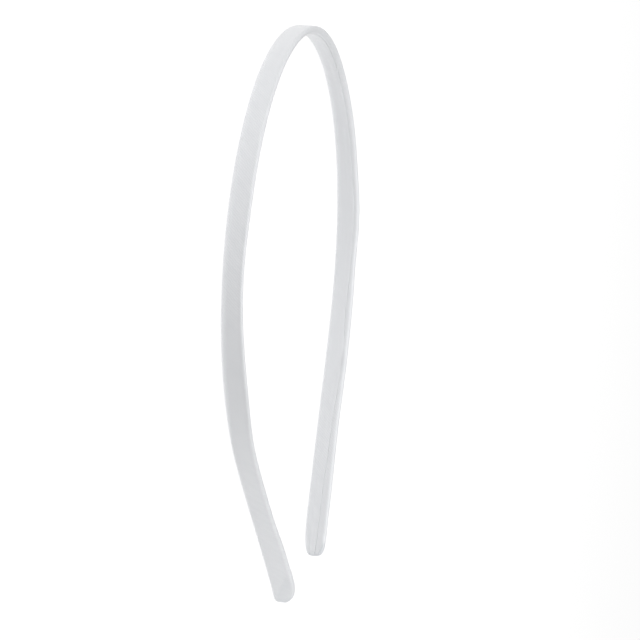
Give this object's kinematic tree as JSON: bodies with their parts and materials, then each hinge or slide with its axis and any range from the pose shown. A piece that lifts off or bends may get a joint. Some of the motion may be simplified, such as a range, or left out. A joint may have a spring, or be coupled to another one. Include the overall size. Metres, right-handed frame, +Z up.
{
  "type": "satin headband",
  "caption": "Narrow open headband wound in white satin, with a round crown, legs that close towards the tips and a lap seam along its inner face; worn over the head to hold the hair back.",
  "frame": {"origin": "centre of the bounding box, on the surface that the band's lower edge rests on", "axes": "the band lies on its side: +Y towards the top of the crown, -Y towards the open tips, +X towards the right arm, +Z up across the band's width"},
  "size_m": [0.1252, 0.154, 0.0066],
  "materials": {
    "satin": "white polyester satin, soft sheen, a little cool"
  },
  "bodies": {
    "root": {"satin_cover": "satin", "lap_flap": "satin"}
  },
  "joints": []
}
